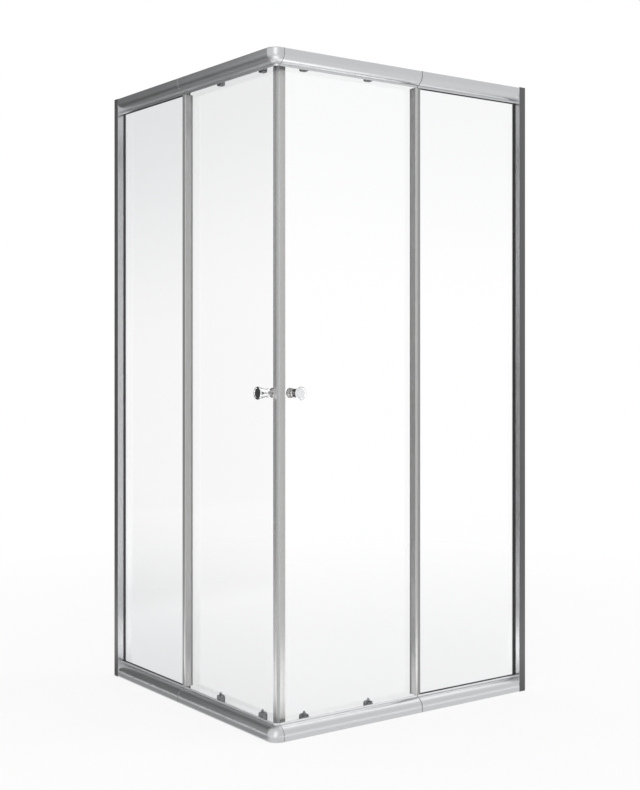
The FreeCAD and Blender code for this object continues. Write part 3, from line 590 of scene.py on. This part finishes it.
def make_world():
    """A white surround to look at, with plain even light from it."""
    world = bpy.data.worlds.new("white_room")
    bpy.context.scene.world = world
    world.use_nodes = True
    tree = world.node_tree
    lit = tree.nodes["Background"]
    lit.inputs["Color"].default_value = (1, 1, 1, 1)
    lit.inputs["Strength"].default_value = 0.65
    seen = tree.nodes.new("ShaderNodeBackground")
    seen.inputs["Strength"].default_value = 1.0
    seen.inputs["Color"].default_value = (1, 1, 1, 1)
    mix = tree.nodes.new("ShaderNodeMixShader")
    tree.links.new(seen_directly(tree), mix.inputs["Fac"])
    tree.links.new(lit.outputs[0], mix.inputs[1])
    tree.links.new(seen.outputs[0], mix.inputs[2])
    tree.links.new(mix.outputs[0], tree.nodes["World Output"].inputs["Surface"])


def stage_plane(name, width, height, place, material):
    """A flat sheet that isn't part of the enclosure."""
    mesh = bmesh.new()
    bmesh.ops.create_grid(mesh, x_segments=1, y_segments=1, size=0.5)
    bmesh.ops.scale(mesh, vec=(width, height, 1), verts=mesh.verts)
    bmesh.ops.transform(mesh, matrix=place, verts=mesh.verts)
    data = bpy.data.meshes.new(name)
    mesh.to_mesh(data)
    mesh.free()
    data.materials.append(material)
    sheet = bpy.data.objects.new(name, data)
    bpy.context.scene.collection.objects.link(sheet)
    return sheet


def make_floor():
    """A white floor that keeps the enclosure's soft shadow and fades into the white surround."""
    material = bpy.data.materials.new("floor_white")
    material.use_nodes = True
    tree = material.node_tree
    shader = tree.nodes["Principled BSDF"]
    shader.inputs["Base Color"].default_value = (0.92, 0.92, 0.92, 1)
    shader.inputs["Roughness"].default_value = 1.0
    shader.inputs["Specular IOR Level"].default_value = 0.0
    glow = tree.nodes.new("ShaderNodeEmission")
    away = tree.nodes.new("ShaderNodeVectorMath")
    away.operation = "LENGTH"
    tree.links.new(object_coordinates(tree), away.inputs[0])
    spread = tree.nodes.new("ShaderNodeMapRange")
    tree.links.new(away.outputs["Value"], spread.inputs["Value"])
    for label, value in (("From Min", 0.7), ("From Max", 3.0), ("To Min", 0.82), ("To Max", 1.0)):
        spread.inputs[label].default_value = value
    mix = tree.nodes.new("ShaderNodeMixShader")
    share = math_node(tree, "MULTIPLY", seen_directly(tree), spread.outputs["Result"])
    tree.links.new(share, mix.inputs["Fac"])
    tree.links.new(shader.outputs[0], mix.inputs[1])
    tree.links.new(glow.outputs[0], mix.inputs[2])
    tree.links.new(mix.outputs[0], tree.nodes["Material Output"].inputs["Surface"])
    stage_plane("floor", 60, 60, Matrix.Translation((0, 0, -0.5 * MM)), material)


def make_card(name, width, height, centre, facing, glow, fade, turned, through):
    """A soft-edged sheet out of sight that only what isn't perfectly smooth mirrors."""
    material = bpy.data.materials.new(name)
    material.use_nodes = True
    tree = material.node_tree
    card = stage_plane(name, width, height, Matrix.Identity(4), material)
    turn = Vector(facing).to_track_quat("Z", "Y").to_matrix().to_4x4()
    card.matrix_world = Matrix.Translation(centre) @ turn @ Matrix.Rotation(math.radians(turned), 4, "Z")
    split = tree.nodes.new("ShaderNodeSeparateXYZ")
    tree.links.new(object_coordinates(tree), split.inputs[0])
    path = tree.nodes.new("ShaderNodeLightPath")
    singular, transmitted = path.outputs["Is Singular Ray"], path.outputs["Is Transmission Ray"]
    by_pane = math_node(tree, "SUBTRACT", singular, transmitted)
    mirrored = math_node(tree, "MINIMUM", path.outputs["Glossy Depth"], 1.0)
    by_metal = math_node(tree, "SUBTRACT", mirrored, by_pane)
    covers = math_node(tree, "MAXIMUM", by_metal, 0.0)
    for axis, size in (("X", width), ("Y", height)):
        edge = tree.nodes.new("ShaderNodeMapRange")
        edge.interpolation_type = "SMOOTHSTEP"
        tree.links.new(math_node(tree, "ABSOLUTE", split.outputs[axis]), edge.inputs["Value"])
        for label, value in (("From Min", size / 2), ("From Max", size / 2 - fade)):
            edge.inputs[label].default_value = value
        covers = math_node(tree, "MULTIPLY", edge.outputs["Result"], covers)
    light = tree.nodes.new("ShaderNodeEmission")
    light.inputs["Strength"].default_value = glow
    mix = tree.nodes.new("ShaderNodeMixShader")
    tree.links.new(covers, mix.inputs["Fac"])
    tree.links.new(tree.nodes.new("ShaderNodeBsdfTransparent").outputs[0], mix.inputs[1])
    tree.links.new(light.outputs[0], mix.inputs[2])
    tree.links.new(mix.outputs[0], tree.nodes["Material Output"].inputs["Surface"])
    card.visible_camera = False
    card.visible_diffuse = False
    card.visible_transmission = through
    card.visible_shadow = False


def make_lamp(name, place, target, size, watts):
    """A soft square lamp."""
    data = bpy.data.lights.new(name, "AREA")
    data.shape = "SQUARE"
    data.size = size
    data.energy = watts
    lamp = bpy.data.objects.new(name, data)
    bpy.context.scene.collection.objects.link(lamp)
    lamp.location = place
    lamp.rotation_euler = (Vector(target) - Vector(place)).to_track_quat("-Z", "Y").to_euler()
    lamp.visible_glossy = False
    lamp.visible_transmission = False


def make_camera():
    """The photograph's level view."""
    data = bpy.data.cameras.new("camera")
    data.sensor_width = 36
    data.lens = CAMERA_LENS
    data.shift_x, data.shift_y = CAMERA_SHIFT
    data.clip_end = 200
    camera = bpy.data.objects.new("camera", data)
    bpy.context.scene.collection.objects.link(camera)
    camera.location = CAMERA_PLACE
    camera.rotation_euler = (math.radians(90), 0, CAMERA_HEADING)
    bpy.context.scene.camera = camera


# Cards: name, width, height, centre, facing, glow, fade, turn, and whether the panes let it be seen.
UP = (0, 0, 1)
DOWN = (0, 0, -1)
CARDS = (
    ("back_card", 11.0, 10.0, (0.6, 4.4, 3.0), (0, -1, 0), 0.15, 1.4, 0, True),
    ("back_low_card", 11.0, 2.4, (0.6, 4.2, 0.4), (0, -1, 0), 0.07, 0.6, 0, True),
    ("back_high_card", 4.8, 4.6, (-0.1, 2.7, 4.6), DOWN, 0.10, 0.8, 0, True),
    ("back_floor_card", 6.0, 5.0, (-1.4, 3.7, 1 * MM), UP, 0.20, 0.5, 0, True),
    ("inner_bright_card", 0.64, 0.64, (-0.1, -0.1, 2 * MM), UP, 1.7, 0.1, 0, True),
    ("left_floor_card", 0.40, 4.6, (-0.47, 1.86, 4 * MM), UP, 0.40, 0.05, 0, False),
    ("left_bright_card", 0.42, 2.3, (-0.73, 0.45, 5 * MM), UP, 2.4, 0.12, 0, False),
    ("far_left_floor_card", 2.6, 4.4, (-2.8, 2.0, 1 * MM), UP, 0.40, 0.6, 0, False),
    ("front_card", 11.0, 9.0, (3.2, -6.5, 2.4), (-0.4, 1, 0), 0.94, 2.0, 0, False),
    ("front_floor_card", 1.9, 0.7, (0.3, -0.89, 2 * MM), UP, 2.6, 0.18, 0, False),
    ("right_floor_card", 2.6, 2.8, (1.95, 0.9, 1 * MM), UP, 2.3, 0.5, 0, True),
    ("high_card", 8.0, 8.0, (4.2, 1.2, 5.2), (-1, 0, -1), 2.0, 1.4, 0, True),
    ("camera_side_card", 2.6, 7.0, (-4.4, -3.9, 3.3), (1, 0.8, 0), 2.5, 0.8, 0, True),
    ("camera_floor_card", 2.2, 2.2, (-1.7, -1.6, 1 * MM), UP, 2.3, 0.6, 38, True),
)
# Lamps: name, place, target, size and watts.
LAMPS = (
    ("key_lamp", (-3.5, -4.6, 4.0), (0, 0, 0.9), 4.0, 150),
    ("fill_lamp", (4.5, -3.4, 4.4), (0, 0, 0.9), 4.0, 90),
)

make_world()
make_floor()
for card in CARDS:
    make_card(*card)
for lamp in LAMPS:
    make_lamp(*lamp)
make_camera()

scene = bpy.context.scene
scene.view_settings.view_transform = "Standard"
